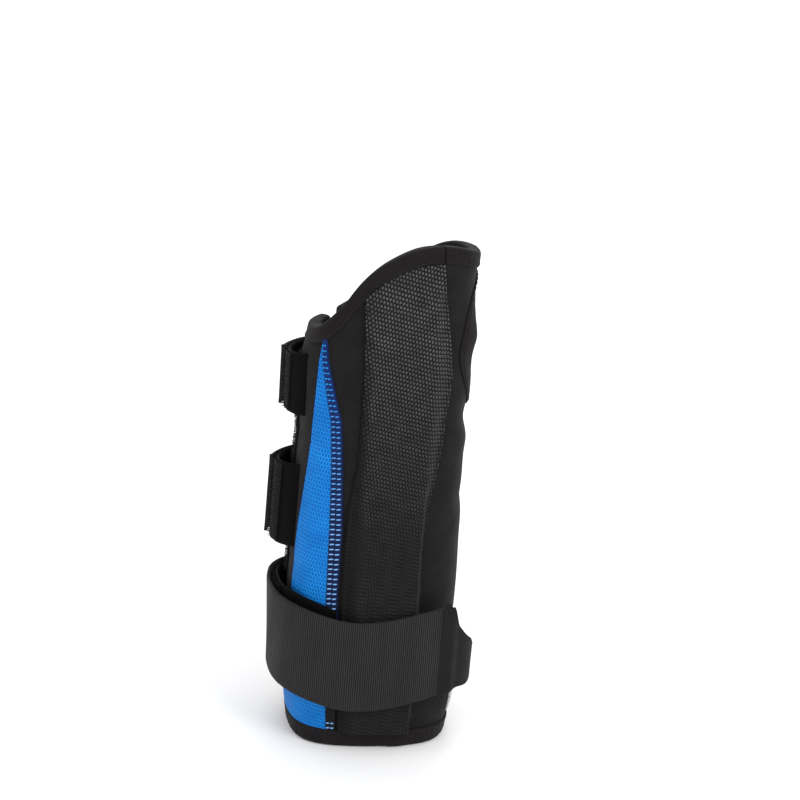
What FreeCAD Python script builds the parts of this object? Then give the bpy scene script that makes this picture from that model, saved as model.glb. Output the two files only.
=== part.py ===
"""Wrist splint for a right wrist: a padded cuff that stands on its forearm rim.

Row frame, millimetres. +Z runs from the forearm rim to the fingers, -Y is the palm side,
+X the thumb (radial) side and -X the little-finger (ulnar) side. The origin is the middle of
the forearm rim. The cuff wraps from the ulnar back edge, round the palm, to the thumb side
(the palmar cuff), and on over the back of the hand (the dorsal flap), leaving a long slit.
"""
import FreeCAD
import Part
import math
import os
from FreeCAD import Vector

os.makedirs("parts", exist_ok=True)

# ---- driving dimensions of the cuff -------------------------------------------------------
PALM_Y = -32.0          # the palm face of the outer fabric, the same at every height
RIM_HALF_DEPTH = 32.0   # half depth at the forearm rim
DEPTH_TAPER = 1 / 24    # the half depth shrinks by this much per mm of height
HALF_WIDTH = 38.0
BELLY = 1.6             # extra half width where the forearm is fullest
BELLY_Z = 80.0
BELLY_SPAN = 45.0
SECTION_HEIGHTS = (-4.0, 40.0, 80.0, 120.0, 160.0, 246.0)
SECTION_POINTS = 20

FOAM = 3.5              # laminated foam shell
LINER = 1.0             # brushed lining inside the shell
TAPE = 0.8              # thickness of the folded edge binding
TAPE_WIDTH = 8.0        # how far the binding reaches down each face
JOINT_GAP = 0.3         # free gap between pieces that move apart

# ---- plan of the cuff ---------------------------------------------------------------------
FOLD_Y = -3.0           # the flap folds open at this plane on the thumb side
FOLD_X = 41.0           # the fold line stands just outside the fabric
ULNAR_EDGE_DEG = -132.0  # plan angle from -Y of the palmar cuff's back edge
FLAP_EDGE_DEG = 212.0   # plan angle from -Y of the dorsal flap's free edge
FAR = 90.0              # reach of the cutting prisms

# Upper edge, as (x, z) points, on the palm side and on the back.
PALM_TOP = [(-60, 197), (-38, 197), (-33, 200), (-28, 205), (-23, 210.5), (-18.5, 217), (-13.5, 223),
            (-7, 228.5), (2, 233.5), (10, 236.5), (19, 237.6), (30, 236.6), (38, 234), (60, 232)]
BACK_TOP = [(-60, 197), (-38, 197), (-28, 198), (-15, 204), (0, 214), (14, 225), (24, 231.5),
            (31, 233.8), (38, 234), (60, 232)]

THUMB_Y, THUMB_Z = -6.0, 193.5
THUMB_HALF_Y, THUMB_HALF_Z = 14.0, 24.0


def half_width(z):
    return HALF_WIDTH + BELLY * math.exp(-(((z - BELLY_Z) / BELLY_SPAN) ** 2))


def half_depth(z):
    return RIM_HALF_DEPTH - DEPTH_TAPER * z


def surface_point(deg, off, z):
    """A point of the cuff's section at plan angle deg from -Y, off mm outside the foam's outer face."""
    u = math.radians(deg)
    s, c = math.sin(u), math.cos(u)
    square = 0.20 + 0.08 * c
    middle = half_depth(z) + PALM_Y
    return Vector((half_width(z) + off) * s * (1 + square * c * c),
                  middle - (half_depth(z) + off) * c * (1 + square * s * s), z)


def closed_section(off, z):
    points = [surface_point(360.0 * i / SECTION_POINTS, off, z) for i in range(SECTION_POINTS)]
    curve = Part.BSplineCurve()
    curve.interpolate(points, PeriodicFlag=True)
    return Part.Wire([curve.toShape()])


solids_by_offset = {}


def filled(off):
    """The whole cuff as a filled solid, grown by off."""
    if off not in solids_by_offset:
        wires = [closed_section(off, z) for z in SECTION_HEIGHTS]
        solids_by_offset[off] = Part.makeLoft(wires, True, False)
    return solids_by_offset[off]


def layer(inner, outer):
    return filled(outer).cut(filled(inner))


# ---- cutting prisms -----------------------------------------------------------------------
def plan_prism(points, low, high):
    corners = [Vector(x, y, low) for x, y in points]
    face = Part.Face(Part.makePolygon(corners + corners[:1]))
    return face.extrude(Vector(0, 0, high - low))


def ray(deg, length=FAR, side=0.0):
    """The end of a plan ray from the middle of the cuff; side shifts it square to itself, anticlockwise."""
    u = math.radians(deg)
    return (math.sin(u) * length + math.cos(u) * side, FOLD_Y - math.cos(u) * length + math.sin(u) * side)


def palm_region(past=0.0):
    """Plan area of the palmar cuff. past widens it beyond the ulnar back edge."""
    y = FOLD_Y - JOINT_GAP / 2
    return [(0, y), (FAR, y), (FAR, -FAR), (-FAR, -FAR), (-FAR, 0),
            ray(ULNAR_EDGE_DEG, side=-past), ray(ULNAR_EDGE_DEG, 0, side=-past)]


def flap_region(past=0.0):
    """Plan area of the dorsal flap. past widens it beyond its free edge."""
    y = FOLD_Y + JOINT_GAP / 2
    return [(0, y), (FAR, y), (FAR, FAR), ray(FLAP_EDGE_DEG, side=past), ray(FLAP_EDGE_DEG, 0, side=past)]


def below_top(drop=0.0):
    """Everything under the upper edge lowered by drop, as one solid."""
    halves = []
    for points, near, far in ((PALM_TOP, -FAR, FOLD_Y), (BACK_TOP, FOLD_Y, FAR)):
        curve = Part.BSplineCurve()
        curve.interpolate([Vector(x, near, z - drop) for x, z in points])
        first = Vector(points[0][0], near, points[0][1] - drop)
        last = Vector(points[-1][0], near, points[-1][1] - drop)
        low_first = Vector(first.x, near, -20)
        low_last = Vector(last.x, near, -20)
        wire = Part.Wire([curve.toShape(), Part.makeLine(last, low_last),
                          Part.makeLine(low_last, low_first), Part.makeLine(low_first, first)])
        halves.append(Part.Face(wire).extrude(Vector(0, far - near, 0)))
    return halves[0].fuse(halves[1])


def thumb_prism(grow):
    ellipse = Part.Ellipse(Vector(0, 0, 0), THUMB_HALF_Z + grow, THUMB_HALF_Y + grow).toShape()
    face = Part.Face(Part.Wire([ellipse]))
    face.rotate(Vector(0, 0, 0), Vector(0, 1, 0), -90)
    face.translate(Vector(12, THUMB_Y, THUMB_Z))
    return face.extrude(Vector(FAR, 0, 0))


def above(z):
    return Part.makeBox(4 * FAR, 4 * FAR, 400, Vector(-2 * FAR, -2 * FAR, z))


def below(z):
    return Part.makeBox(4 * FAR, 4 * FAR, 400, Vector(-2 * FAR, -2 * FAR, z - 400))


def outline_prism(points):
    """A prism over an (x, z) outline, reaching right through the cuff."""
    corners = [Vector(x, -FAR, z) for x, z in points]
    face = Part.Face(Part.makePolygon(corners + corners[:1]))
    return face.extrude(Vector(0, 2 * FAR, 0))


def sector(rows):
    """A wedge from the middle of the cuff outwards. Each row gives a height and the section
    angles of the wedge's two sides there."""
    wires = []
    for z, first_deg, last_deg in rows:
        corners = [Vector(0, FOLD_Y, z)]
        for deg in (first_deg, last_deg):
            on_surface = surface_point(deg, 0, z)
            direction = Vector(on_surface.x, on_surface.y - FOLD_Y, 0).normalize()
            corners.append(Vector(0, FOLD_Y, z) + direction * FAR)
        wires.append(Part.makePolygon(corners + corners[:1]))
    return Part.makeLoft(wires, True, True)


# ---- fabric cuff: shell, liner and folded bindings ----------------------------------------
top_cut = below_top()
top_lowered = below_top(TAPE_WIDTH)
tape_top_cut = below_top(-TAPE)
thumb_hole = thumb_prism(0)
thumb_hem = thumb_prism(TAPE_WIDTH)
thumb_inner = thumb_prism(-TAPE)
foam_tube = layer(-FOAM, 0).common(top_cut).common(above(TAPE)).cut(thumb_hole)
liner_tube = layer(-FOAM - LINER, -FOAM).common(top_cut).common(above(TAPE)).cut(thumb_hole)
tape_tube = layer(-FOAM - LINER - TAPE, TAPE).common(tape_top_cut).common(above(0)).cut(thumb_inner)

nodes = {}


def cuff_half(name, region, edge_deg, edge_side):
    """The shell, liner and bindings of one half of the cuff."""
    area = plan_prism(region(), -10, 260)
    shell = foam_tube.common(area)
    liner = liner_tube.common(area)
    tape = tape_tube.common(plan_prism(region(TAPE), -10, 260)).cut(shell).cut(liner)
    base = tape.common(below(TAPE_WIDTH))
    upper = tape.cut(below(TAPE_WIDTH))
    top = upper.cut(top_lowered)
    middle = upper.common(top_lowered)
    thumb = middle.common(thumb_hem)
    inside = edge_side * TAPE_WIDTH
    strip = plan_prism([ray(edge_deg, 0, -2 * edge_side), ray(edge_deg, FAR, -2 * edge_side),
                        ray(edge_deg, FAR, inside), ray(edge_deg, 0, inside)], -10, 260)
    edge = middle.cut(thumb_hem).common(strip)
    nodes[f"{name}_shell"] = shell
    nodes[f"{name}_liner"] = liner
    nodes[f"{name}_base_binding"] = base
    nodes[f"{name}_top_binding"] = top
    nodes[f"{name}_thumb_binding"] = thumb
    nodes[f"{name}_edge_binding"] = edge


cuff_half("palmar", palm_region, ULNAR_EDGE_DEG, 1)
cuff_half("dorsal", flap_region, FLAP_EDGE_DEG, -1)

# ---- palm side trim: mesh insert, cover seam, hook strip, label ---------------------------
TRIM_LOW = TAPE_WIDTH + 0.4
trim_clear = top_lowered.common(above(TRIM_LOW))
MESH_THICK = 0.9
MESH_ROWS = [(TRIM_LOW, -92, -25.5), (20, -90, -26), (75, -66, -28.5), (107, -62, -29), (140, -53, -31),
             (159, -50, -33), (178, -47.6, -40), (186, -46.8, -43.5), (194, -46.3, -46)]
SEAM_THICK = 1.1
SEAM_ROWS = [(TRIM_LOW, -25.5, -19.7), (20, -26, -20), (75, -28.5, -21.5), (107, -29, -21), (140, -31, -24),
             (159, -33, -26), (178, -40, -34), (186, -43.5, -37.5), (194, -46, -41.5)]
HOOK_THICK = 1.2
HOOK_ROWS = [(77, -101, -87), (184, -101, -87)]
LABEL_THICK = 0.5
LABEL_ROWS = [(12, 62, 80), (28, 62, 80)]

trim = (("ulnar_mesh_insert", MESH_THICK, MESH_ROWS), ("mesh_cover_seam", SEAM_THICK, SEAM_ROWS),
        ("ulnar_hook_strip", HOOK_THICK, HOOK_ROWS), ("care_label", LABEL_THICK, LABEL_ROWS))
for name, thickness, rows in trim:
    nodes[name] = layer(0, thickness).common(sector(rows)).common(trim_clear)

# ---- palmar stay in its pocket ------------------------------------------------------------
CAP_LENGTH = 9.0
CAP_SKIN = 0.35
CHANNEL_PLAY = 0.45

STAY_HALF_WIDTH = 12.5
STAY_THICK = 1.8
STAY_LOW, STAY_HIGH = 13.0, 208.0
STAY_X = 4.0
BACKING = 0.8
COVER_MARGIN = 0.9                 # cover thickness over the pocket's sewn margins
COVER_SKIN = 0.8
POCKET_ROWS = [(TRIM_LOW, -18, 22), (14, -18.4, 22), (14.01, -18.4, 24.5), (75, -19, 24), (99, -19, 23),
               (120, -18, 25), (137, -15, 30), (160, -14, 34), (180, -14, 37), (201, -15, 31), (232, -18, 26),
               (245, -18.5, 24)]


def round_ended_strip(half, low, high, centre_x, back_y, thick):
    """A flat strip with fully round ends. Its back face is at back_y and it grows towards -Y."""
    left, right = centre_x - half, centre_x + half
    a = Vector(left, back_y, low + half)
    b = Vector(left, back_y, high - half)
    c = Vector(right, back_y, high - half)
    d = Vector(right, back_y, low + half)
    wire = Part.Wire([Part.makeLine(a, b), Part.Arc(b, Vector(centre_x, back_y, high), c).toShape(),
                      Part.makeLine(c, d), Part.Arc(d, Vector(centre_x, back_y, low), a).toShape()])
    return Part.Face(wire).extrude(Vector(0, -thick, 0))


def stay_and_caps(half, low, high, centre_x, back_y, thick):
    """A stay, its lower dipped cap and its upper dipped cap."""
    bar = round_ended_strip(half, low, high, centre_x, back_y, thick)
    jacket = round_ended_strip(half + CAP_SKIN, low - CAP_SKIN, high + CAP_SKIN, centre_x,
                               back_y + CAP_SKIN, thick + 2 * CAP_SKIN).cut(bar)
    return bar, jacket.common(below(low + CAP_LENGTH)), jacket.common(above(high - CAP_LENGTH))


def channel_box(half, high, centre_x, back_y, thick, skin):
    """The free space a stay slides in, grown by skin at its sides, front and top."""
    side = half + CAP_SKIN + CHANNEL_PLAY + skin
    front = thick + CAP_SKIN + CHANNEL_PLAY + skin
    return Part.makeBox(2 * side, front + CAP_SKIN + CHANNEL_PLAY, high + 2.5 + skin + 2,
                        Vector(centre_x - side, back_y - front, -2))


stay_back_y = PALM_Y - BACKING - CHANNEL_PLAY - CAP_SKIN
stay_size = (STAY_HALF_WIDTH, STAY_LOW, STAY_HIGH, STAY_X, stay_back_y, STAY_THICK)
bar, lower_cap, upper_cap = stay_and_caps(*stay_size)
nodes["palmar_stay"] = bar
nodes["palmar_stay_lower_cap"] = lower_cap
nodes["palmar_stay_upper_cap"] = upper_cap

pocket_area = sector(POCKET_ROWS).common(trim_clear)
channel_size = (STAY_HALF_WIDTH, STAY_HIGH, STAY_X, stay_back_y, STAY_THICK)
channel = channel_box(*channel_size, 0)
cover = filled(BACKING + COVER_MARGIN).fuse(channel_box(*channel_size, COVER_SKIN)).cut(filled(BACKING))
nodes["palmar_pocket_backing"] = layer(0, BACKING).common(pocket_area)
nodes["palmar_pocket_cover"] = cover.common(pocket_area).cut(channel)

# ---- dorsal stays in their pockets --------------------------------------------------------
DORSAL_STAY_HALF = 6.0
DORSAL_STAY_THICK = 1.5
DORSAL_STAY_RISE = 1.35            # height of the stay's inner face above the shell
DORSAL_STAY_LOW, DORSAL_STAY_HIGH = 14.0, 190.0
DORSAL_COVER_HALF = 9.5
DORSAL_COVER_SKIN = 0.8
DORSAL_COVER_TOP = 4.7             # no part of a dorsal pocket stands further out than this
DORSAL_STAYS = {"radial": 160.0, "centre": 187.0}


def dorsal_placement(deg):
    """Lays a piece drawn on the XZ plane, facing -Y, on the back of the cuff."""
    foot = surface_point(deg, 0, 0)
    along = (surface_point(deg, 0, 240) - foot).normalize()
    beside = surface_point(deg - 4, 0, 120) - surface_point(deg + 4, 0, 120)
    outward = along.cross(beside).normalize()
    if outward.y < 0:
        outward = outward * -1
    across = along.cross(outward)
    return FreeCAD.Placement(FreeCAD.Matrix(across.x, -outward.x, along.x, foot.x,
                                            across.y, -outward.y, along.y, foot.y,
                                            across.z, -outward.z, along.z, foot.z, 0, 0, 0, 1))


for side, deg in DORSAL_STAYS.items():
    placement = dorsal_placement(deg)
    print(side, "stay slides along", placement.Rotation.multVec(Vector(0, 0, -1)))
    bar, low_cap, high_cap = stay_and_caps(DORSAL_STAY_HALF, DORSAL_STAY_LOW, DORSAL_STAY_HIGH, 0,
                                           -DORSAL_STAY_RISE, DORSAL_STAY_THICK)
    tunnel_half = DORSAL_STAY_HALF + CAP_SKIN + CHANNEL_PLAY
    tunnel_top = DORSAL_STAY_RISE + DORSAL_STAY_THICK + CAP_SKIN + CHANNEL_PLAY
    tunnel = Part.makeBox(2 * tunnel_half, tunnel_top + 8, DORSAL_STAY_HIGH + CAP_SKIN + CHANNEL_PLAY + 3,
                          Vector(-tunnel_half, -tunnel_top, -3))
    cover_top = tunnel_top + DORSAL_COVER_SKIN
    cover = Part.makeBox(2 * DORSAL_COVER_HALF, cover_top + 8, 240, Vector(-DORSAL_COVER_HALF, -cover_top, -20))
    caps = Part.makeCompound([low_cap, high_cap])
    for shape in (bar, caps, tunnel, cover):
        shape.Placement = placement
    pocket = cover.common(filled(DORSAL_COVER_TOP)).cut(filled(0)).cut(tunnel)
    pocket = pocket.cut(nodes["dorsal_edge_binding"]).cut(nodes["dorsal_thumb_binding"])
    nodes[f"dorsal_{side}_stay"] = bar
    nodes[f"dorsal_{side}_stay_caps"] = caps
    nodes[f"dorsal_{side}_pocket"] = pocket.common(above(TRIM_LOW)).common(below(DORSAL_STAY_HIGH + 4))

# ---- straps and the loops they fasten to --------------------------------------------------
WEBBING = 1.6
PATCH = 1.2
GLUE = 0.04             # glue line between a hook patch and its webbing
CURVE_POINTS = 24


def offset_curve(controls, z, distance, start, end):
    """Points along a smooth curve through (section angle, offset) controls, moved outwards."""
    curve = Part.BSplineCurve()
    curve.interpolate([surface_point(deg, off, z) for deg, off in controls])
    first, last = curve.FirstParameter, curve.LastParameter
    points = []
    for i in range(CURVE_POINTS + 1):
        t = first + (last - first) * (start + (end - start) * i / CURVE_POINTS)
        tangent = curve.tangent(t)[0]
        points.append(curve.value(t) + Vector(tangent.y, -tangent.x, 0).normalize() * distance)
    return points


def band(controls, low, high, inner, outer, start=0.0, end=1.0):
    """Webbing standing on edge between two heights, from inner to outer mm outside its controls."""
    wires = []
    for z in (low, high):
        near = offset_curve(controls, z, inner, start, end)
        far = offset_curve(controls, z, outer, start, end)[::-1]
        near_curve = Part.BSplineCurve()
        near_curve.interpolate(near)
        far_curve = Part.BSplineCurve()
        far_curve.interpolate(far)
        wires.append(Part.Wire([near_curve.toShape(), Part.makeLine(near[-1], far[0]),
                                far_curve.toShape(), Part.makeLine(far[-1], near[0])]))
    return Part.makeLoft(wires, True, True)


def sewn(shape, *under):
    """Trims a piece so that it lies on the pieces it is sewn to."""
    shape = shape.cut(filled(0))
    for name in under:
        shape = shape.cut(nodes[name])
    return shape


# Each loop runs from the ulnar back edge, out over the little-finger side and in again.
LOOPS = {
    "hand": {"z": (157.0, 186.0), "hook": (0.22, 0.78),
             "path": [(240, -0.5), (246, 0.9), (254, 2.9), (263, 4.2), (272, 4.7), (280, 4.2), (287, 2.0), (291, -0.5)]},
    "wrist": {"z": (93.0, 133.5), "hook": (0.22, 0.78),
              "path": [(240, -0.5), (246, 1.5), (254, 4.6), (263, 6.6), (271, 7.0), (278, 5.6), (284, 2.2), (288, -0.5)]},
    "forearm": {"z": (30.0, 76.0), "hook": (0.16, 0.56),
                "path": [(240, -0.5), (246, 1.2), (254, 2.9), (263, 3.8), (272, 4.0), (284, 3.8), (298, 3.2),
                         (312, 2.4), (323, 1.6), (330.5, 1.0)]},
}
# The forearm loop's upper edge slants down where it runs under the strap.
FOREARM_LOOP_OUTLINE = [(-FAR, 0), (0, 0), (0, 66), (-26, 71.5), (-32, 74), (-38, 76.5), (-FAR, 76.5)]
for place, loop in LOOPS.items():
    low, high = loop["z"]
    webbing = band(loop["path"], low, high, 0, WEBBING)
    hook = band(loop["path"], low, high, WEBBING + GLUE, WEBBING + PATCH, *loop["hook"])
    hook = hook.common(above(low + 2)).common(below(high - 2))
    if place == "forearm":
        webbing = webbing.common(outline_prism(FOREARM_LOOP_OUTLINE))
        hook = hook.common(outline_prism([(x, z - 2) for x, z in FOREARM_LOOP_OUTLINE]))
    nodes[f"{place}_tab_loop"] = sewn(webbing, "ulnar_mesh_insert", "ulnar_hook_strip", "mesh_cover_seam",
                                      "palmar_edge_binding")
    nodes[f"{place}_tab_hook"] = hook

NARROW_STRAPS = {
    "hand": {"z": (157.5, 185.5), "path": [(142.5, 4.2), (148, 5.2), (170, 5.3), (195, 5.3), (215, 5.3), (228, 5.3),
                                           (240, 5.5), (250, 6.2), (257, 7.0), (262, 7.7)]},
    "wrist": {"z": (94.0, 132.5), "path": [(142.5, 4.2), (148, 5.2), (170, 5.3), (195, 5.3), (215, 5.3), (228, 5.5),
                                           (240, 6.6), (250, 8.2), (257, 9.5), (262, 10.3)]},
}
ANCHOR_PATH = [(120, -0.5), (126, 0.3), (132, 1.2), (138, 2.8), (141, 3.8)]
for place, strap in NARROW_STRAPS.items():
    low, high = strap["z"]
    nodes[f"{place}_strap"] = band(strap["path"], low, high, 0, WEBBING)
    anchor = band(ANCHOR_PATH, low, high, 0, WEBBING)
    nodes[f"{place}_strap_anchor"] = sewn(anchor, "dorsal_thumb_binding")

FOREARM_WEBBING = 1.9
FOREARM_BACK = [(112, -0.5), (122, 0.3), (132, 1.4), (140, 3.6), (148, 5.2), (187, 5.3), (212, 5.3), (228, 5.6),
                (240, 6.3), (250, 7.0), (260, 7.5), (268, 7.7)]
FOREARM_FRONT = [(270, 7.8), (285, 8.2), (305, 8.1), (320, 7.6), (335, 7.1), (350, 7.0), (365, 7.1), (380, 7.4),
                 (390, 7.9), (396, 8.3)]
FOREARM_TAB = [(397.5, 8.4), (405, 9.5), (415, 10.4), (426, 9.8)]
STRAP_LOW, STRAP_HIGH = 10.0, 88.0  # heights between which the strap's curves are ruled
FOREARM_WIDTH = 44.5
# Lower edge of the strap, as (x, z) points. It hangs lowest in front of the palm stay.
FRONT_LOW = [(-60, 33.5), (-46, 30.6), (-33, 27.2), (-23, 24.2), (-14, 22.4), (-4, 22.2), (4, 23.2), (17.5, 26.2),
             (28, 29), (36, 31.2), (60, 37)]
BACK_LOW = [(-60, 31.2), (-46, 30.6), (60, 26.4)]
TAB_OUTLINE = [(0, 5), (34.5, 5), (34.5, 30.8), (38.5, 32.6), (46.5, 33.4), (50.5, 35), (50.5, 51), (45.5, 54.5),
               (37.2, 64), (34.8, 72.5), (34.8, 90), (0, 90)]
PATCH_OUTLINE = [(0, 35), (44.8, 35), (48, 37), (48, 50), (44, 52.5), (35.5, 62.5), (0, 62.5)]


def strap_prism(low_edge):
    """The part of the cuff's surroundings that a strap with this lower edge runs through."""
    return outline_prism(low_edge + [(x, z + FOREARM_WIDTH) for x, z in reversed(low_edge)])


forearm_pieces = {"back": (FOREARM_BACK, BACK_LOW), "front": (FOREARM_FRONT, FRONT_LOW),
                  "tab": (FOREARM_TAB, FRONT_LOW)}
for piece, (path, low_edge) in forearm_pieces.items():
    strip = band(path, STRAP_LOW, STRAP_HIGH, 0, FOREARM_WEBBING)
    nodes[f"forearm_strap_{piece}"] = strip.common(strap_prism(low_edge))
nodes["forearm_strap_back"] = sewn(nodes["forearm_strap_back"])
nodes["forearm_strap_tab"] = nodes["forearm_strap_tab"].common(outline_prism(TAB_OUTLINE))
tab_hook = band(FOREARM_TAB, STRAP_LOW, STRAP_HIGH, -PATCH, -GLUE, 0.25, 0.92)
nodes["forearm_tab_patch"] = tab_hook.common(outline_prism(PATCH_OUTLINE))

# ---- export -------------------------------------------------------------------------------
for name, shape in nodes.items():
    print(f"{name:28s} solids {len(shape.Solids)} valid {shape.isValid()} volume {shape.Volume:9.1f}")
    shape.exportStep(f"parts/{name}.step")
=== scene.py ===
"""Wrist splint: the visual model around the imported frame.

Sizes below are in millimetres, as in the part's own source, and turn to metres when a mesh is made.
A place on the cuff is (section angle in degrees from the palm side, mm outside the foam's face, height).
"""

import bpy
import math
import random
from mathutils import Matrix, Vector


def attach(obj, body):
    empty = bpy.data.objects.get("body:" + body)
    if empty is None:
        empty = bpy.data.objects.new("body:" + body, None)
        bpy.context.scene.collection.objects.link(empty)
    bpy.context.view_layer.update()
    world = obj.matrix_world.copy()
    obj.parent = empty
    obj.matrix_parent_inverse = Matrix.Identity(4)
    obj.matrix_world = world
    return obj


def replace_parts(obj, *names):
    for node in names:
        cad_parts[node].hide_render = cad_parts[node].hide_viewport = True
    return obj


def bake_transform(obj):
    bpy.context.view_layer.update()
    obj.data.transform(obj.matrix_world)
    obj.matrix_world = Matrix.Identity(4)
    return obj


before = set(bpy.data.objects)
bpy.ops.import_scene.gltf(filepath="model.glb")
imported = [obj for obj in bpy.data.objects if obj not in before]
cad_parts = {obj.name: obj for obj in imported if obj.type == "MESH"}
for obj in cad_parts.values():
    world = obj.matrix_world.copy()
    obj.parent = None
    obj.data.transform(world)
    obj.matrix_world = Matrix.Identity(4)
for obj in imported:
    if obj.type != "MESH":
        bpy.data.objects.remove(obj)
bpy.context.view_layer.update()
MM = 0.001

# ---- driving dimensions, the same as the part's ----
PALM_Y = -32.0
RIM_HALF_DEPTH = 32.0
DEPTH_TAPER = 1 / 24
HALF_WIDTH = 38.0
BELLY, BELLY_Z, BELLY_SPAN = 1.6, 80.0, 45.0
SQUARENESS, PALM_SQUARENESS = 0.20, 0.08  # how far the section bulges past an ellipse
FOAM = 3.5
LINED = 4.5  # foam and lining together
TAPE = 0.8
TAPE_WIDTH = 8.0
FOLD_Y = -3.0
ULNAR_EDGE_DEG = -132.0
FLAP_EDGE_DEG = 212.0
PANEL_SEAM_DEG = 8.0  # the two fabric panels meet here, under the palm pocket
PALM_TOP = [(-60, 197), (-38, 197), (-33, 200), (-28, 205), (-23, 210.5), (-18.5, 217), (-13.5, 223),
            (-7, 228.5), (2, 233.5), (10, 236.5), (19, 237.6), (30, 236.6), (38, 234), (60, 232)]
BACK_TOP = [(-60, 197), (-38, 197), (-28, 198), (-15, 204), (0, 214), (14, 225), (24, 231.5),
            (31, 233.8), (38, 234), (60, 232)]
THUMB_Y, THUMB_Z = -6.0, 193.5
THUMB_HALF_Y, THUMB_HALF_Z = 14.0, 24.0


# ---- the cuff's surface ----
def half_width(z):
    return HALF_WIDTH + BELLY * math.exp(-(((z - BELLY_Z) / BELLY_SPAN) ** 2))


def half_depth(z):
    return RIM_HALF_DEPTH - DEPTH_TAPER * z


def section(deg, off, z):
    """A point of the ideal section at a plan angle, off mm outside the foam's outer face."""
    u = math.radians(deg)
    s, c = math.sin(u), math.cos(u)
    square = SQUARENESS + PALM_SQUARENESS * c
    middle = half_depth(z) + PALM_Y
    return Vector(((half_width(z) + off) * s * (1 + square * c * c),
                   middle - (half_depth(z) + off) * c * (1 + square * s * s), z))


def smooth(a, b, x):
    t = min(1.0, max(0.0, (x - a) / (b - a)))
    return t * t * (3 - 2 * t)


def hump(x, middle, spread):
    return math.exp(-(((x - middle) / spread) ** 2))


# Bends in the worn laminate: (mm out, height, how much higher it lies at the palm, spread).
THUMB_SIDE_BENDS = ((-1.4, 157, 5, 5.5), (0.8, 146, 6, 5.0), (-0.8, 122, -8, 5.0), (0.4, 110, 0, 8.0),
                    (2.4, 197, 0, 7.0), (-0.9, 215, 0, 6.0))
LITTLE_SIDE_BENDS = ((-0.5, 148, 0, 4.0), (-0.4, 86, 0, 5.0))
TOP_TUCK = 3.2  # the little-finger side draws in by this much at its upper edge
BASE_TUCK = 1.8  # and by this much at the rim
BASE_BULGE = 3.6  # the thumb side swells by this much above the rim


def bends(rows, u, z):
    return sum(out * hump(z, height + climb * math.cos(u), spread) for out, height, climb, spread in rows)


def ripple(deg, z):
    """How far the worn laminate stands off its ideal surface: soft waves, creases and bulges."""
    u = math.radians(deg)
    turn = deg % 360
    thumb_side = max(0.0, math.sin(u)) ** 2 * (1 - smooth(100, 118, turn))
    little_side = max(0.0, -math.sin(u)) ** 2
    waves = 0.11 * math.sin(z / 17 + 3 * u) + 0.08 * math.sin(z / 9.3 - 5 * u)
    above_rim = smooth(0, 16, z)
    thumb = (waves + bends(THUMB_SIDE_BENDS, u, z) * thumb_side) * above_rim * smooth(0, 14, 236 - z)
    little = (bends(LITTLE_SIDE_BENDS, u, z) - TOP_TUCK * smooth(183, 197, z)) * little_side * above_rim
    bulge = BASE_BULGE * hump(z, 22, 15.0) * hump(turn, 72, 24.0)
    return thumb + little + bulge - BASE_TUCK * little_side * (1 - smooth(0, 20, z))


def cuff(deg, off, z):
    """The same point on the worn surface."""
    return section(deg, off + ripple(deg, z), z)


def spline(points, samples):
    """Points along the natural cubic through some points, spaced by chord length."""
    gaps = [max(1e-6, (b - a).length) for a, b in zip(points, points[1:])]
    n = len(points)
    knots = [0.0]
    for gap in gaps:
        knots.append(knots[-1] + gap)
    bend = [Vector((0, 0, 0)) for _ in points]
    upper, right = [0.0] * n, [Vector((0, 0, 0)) for _ in points]
    for i in range(1, n - 1):
        slope = (points[i + 1] - points[i]) / gaps[i] - (points[i] - points[i - 1]) / gaps[i - 1]
        pivot = 2 * (gaps[i - 1] + gaps[i]) - gaps[i - 1] * upper[i - 1]
        upper[i] = gaps[i] / pivot
        right[i] = (6 * slope - gaps[i - 1] * right[i - 1]) / pivot
    for i in range(n - 2, 0, -1):
        bend[i] = right[i] - upper[i] * bend[i + 1]
    out, k = [], 0
    for j in range(samples + 1):
        t = knots[-1] * j / samples
        while k < n - 2 and t > knots[k + 1]:
            k += 1
        h, a, b = gaps[k], knots[k + 1] - t, t - knots[k]
        out.append((bend[k] * a ** 3 + bend[k + 1] * b ** 3) / (6 * h)
                   + (points[k] / h - bend[k] * h / 6) * a + (points[k + 1] / h - bend[k + 1] * h / 6) * b)
    return out


def along(curve, t):
    """A point at a fraction of a list of evenly spread points."""
    place = min(max(t, 0.0), 1.0) * (len(curve) - 1)
    i = min(int(place), len(curve) - 2)
    return curve[i].lerp(curve[i + 1], place - i)


def height_profile(outline):
    """A function from x to the height of an (x, z) outline."""
    line = spline([Vector((x, 0, z)) for x, z in outline], 300)

    def height(x):
        for a, b in zip(line, line[1:]):
            if b.x >= x:
                return a.z + (b.z - a.z) * (x - a.x) / max(1e-6, b.x - a.x)
        return line[-1].z
    return height


palm_height, back_height = height_profile(PALM_TOP), height_profile(BACK_TOP)
EDGE_SECTION_Z = 215  # the upper edge is laid out on the section at this height


def top_of(deg):
    """The height of the fabric's upper edge at a section angle."""
    place = section(deg, 0, EDGE_SECTION_Z)
    return palm_height(place.x) if place.y < FOLD_Y else back_height(place.x)


def deg_at(y, z):
    """The section angle on the thumb side where the surface has this y."""
    low, high = 5.0, 175.0
    for _ in range(30):
        middle = (low + high) / 2
        if section(middle, 0, z).y < y:
            low = middle
        else:
            high = middle
    return low


def angle_across(rows, z, share):
    """The section angle at a share of the way across (height, left angle, right angle) rows."""
    _, left, right = rows[-1]
    for a, b in zip(rows, rows[1:]):
        if z <= b[0]:
            t = min(1.0, max(0.0, (z - a[0]) / (b[0] - a[0])))
            left = a[1] + (b[1] - a[1]) * t
            right = a[2] + (b[2] - a[2]) * t
            break
    return left + (right - left) * share


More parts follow.
